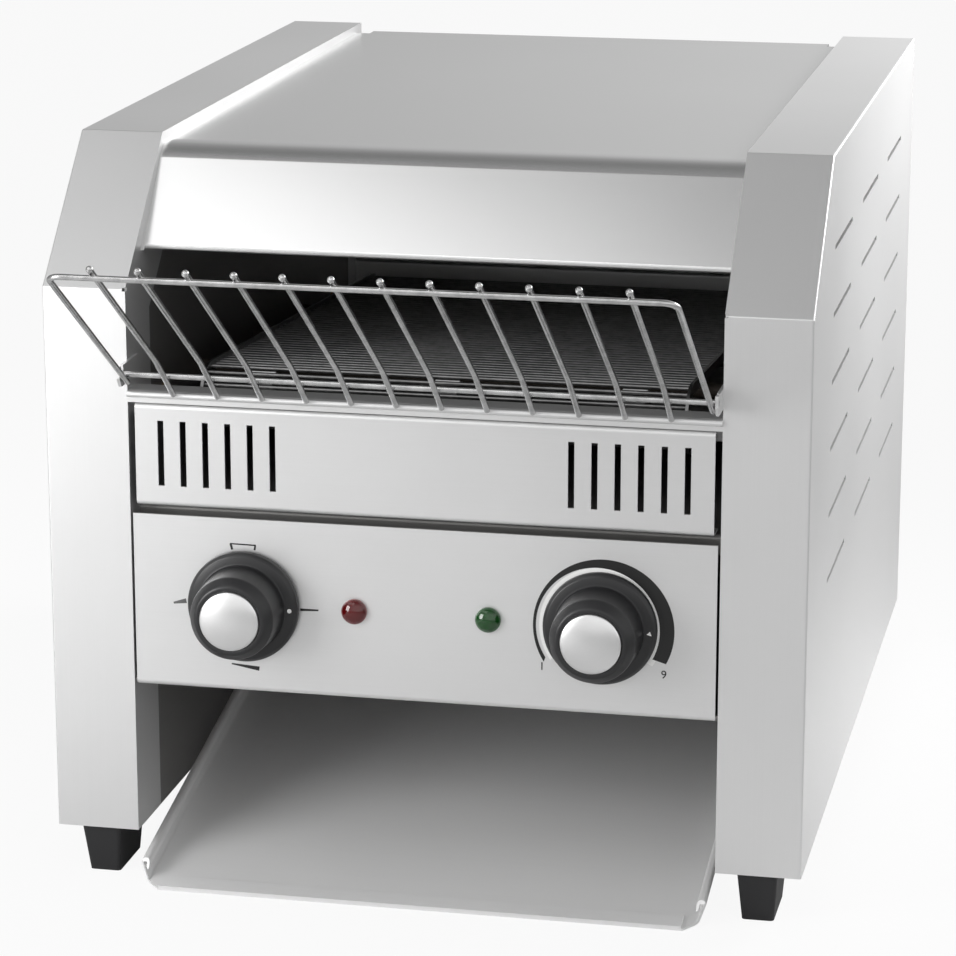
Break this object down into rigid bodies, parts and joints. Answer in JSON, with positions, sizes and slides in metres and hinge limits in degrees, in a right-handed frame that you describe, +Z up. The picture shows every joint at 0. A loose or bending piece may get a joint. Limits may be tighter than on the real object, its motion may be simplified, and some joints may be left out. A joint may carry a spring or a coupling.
{
  "type": "conveyor toaster",
  "caption": "Counter-top conveyor toaster in stainless steel with wire feed rack, wire belt, heating tubes, control knobs, lamps and a slide-out toast tray.",
  "frame": {"origin": "middle of the footprint on the counter top, with the rack, tray and gland in the box", "axes": "+X to the right seen from the front, +Y to the back, +Z up"},
  "size_m": [0.368, 0.6158, 0.3605],
  "materials": {
    "stainless": "brushed",
    "bright_stainless": "polished",
    "inner_steel": "satin, darkened by heat",
    "wire": "bright",
    "shaft_steel": "turned",
    "bronze": "turned",
    "motor_paint": "satin",
    "heater": "matt oxide",
    "ceramic": "glazed",
    "black_plastic": "satin",
    "cap_metal": "satin",
    "red_lens": "clear gloss",
    "green_lens": "clear gloss",
    "rubber": "matt"
  },
  "bodies": {
    "body": {"left_housing": "stainless", "right_housing": "stainless", "left_inner_plate": "inner_steel", "right_inner_plate": "inner_steel", "left_base_rail": "inner_steel", "right_base_rail": "inner_steel", "top_cover": "bright_stainless", "back_panel": "stainless", "front_cross_bar": "bright_stainless", "vent_panel": "stainless", "control_panel": "stainless", "lower_deck": "inner_steel", "upper_deck": "inner_steel", "return_chute": "stainless", "tray_support": "inner_steel", "belt_wires": "wire", "belt_side_links": "wire", "shaft_bushes": "bronze", "gear_motor": "motor_paint", "motor_can": "motor_paint", "upper_heating_tubes": "heater", "lower_heating_tubes": "heater", "heater_ends": "ceramic", "upper_reflector": "inner_steel", "lower_reflector": "inner_steel", "left_rack_hook": "bright_stainless", "right_rack_hook": "bright_stainless", "selector_switch": "black_plastic", "speed_control": "black_plastic", "left_lamp_lens": "red_lens", "right_lamp_lens": "green_lens", "lamp_holders": "black_plastic", "fan_frame": "black_plastic", "terminal_block": "ceramic", "cord_gland": "black_plastic", "front_right_foot": "rubber", "front_left_foot": "rubber", "rear_right_foot": "rubber", "rear_left_foot": "rubber"},
    "feed_rack": {"rack_rods": "wire", "rack_frame": "wire", "rack_cross_wire": "wire"},
    "toast_tray": {"toast_tray": "stainless"},
    "drive_shaft": {"drive_shaft": "shaft_steel", "drive_wheels": "shaft_steel"},
    "idler_shaft": {"idler_shaft": "shaft_steel", "idler_wheels": "shaft_steel"},
    "selector_knob": {"selector_knob": "black_plastic", "selector_cap": "cap_metal", "selector_spindle": "shaft_steel"},
    "speed_knob": {"speed_knob": "black_plastic", "speed_cap": "cap_metal", "speed_spindle": "shaft_steel"},
    "fan_rotor": {"fan_rotor": "black_plastic"}
  },
  "joints": [
    {"name": "rack_fold", "type": "hinge", "parent": "body", "child": "feed_rack", "pos_m": [0, -0.19406, 0.25803], "axis": [-1, 0, 0], "range_deg": [0, 85]},
    {"name": "tray_slide", "type": "slide", "parent": "body", "child": "toast_tray", "axis": [0, -1, 0], "range_m": [0, 0.25]},
    {"name": "drive_turn", "type": "hinge", "parent": "body", "child": "drive_shaft", "pos_m": [0, -0.12206, 0.232], "axis": [-1, 0, 0], "continuous": true},
    {"name": "idler_turn", "type": "hinge", "parent": "body", "child": "idler_shaft", "pos_m": [0, 0.21462, 0.20846], "axis": [-1, 0, 0], "continuous": true},
    {"name": "selector_turn", "type": "hinge", "parent": "body", "child": "selector_knob", "pos_m": [-0.0868, -0.18206, 0.144], "axis": [0, -1, 0], "range_deg": [0, 270]},
    {"name": "speed_turn", "type": "hinge", "parent": "body", "child": "speed_knob", "pos_m": [0.0868, -0.18206, 0.144], "axis": [0, -1, 0], "range_deg": [-30, 210]},
    {"name": "fan_turn", "type": "hinge", "parent": "body", "child": "fan_rotor", "pos_m": [-0.12, -0.07206, 0.1448], "axis": [1, 0, 0], "continuous": true}
  ],
  "couplings": [
    {"joint": "idler_turn", "follows": "drive_turn", "ratio": 1}
  ]
}
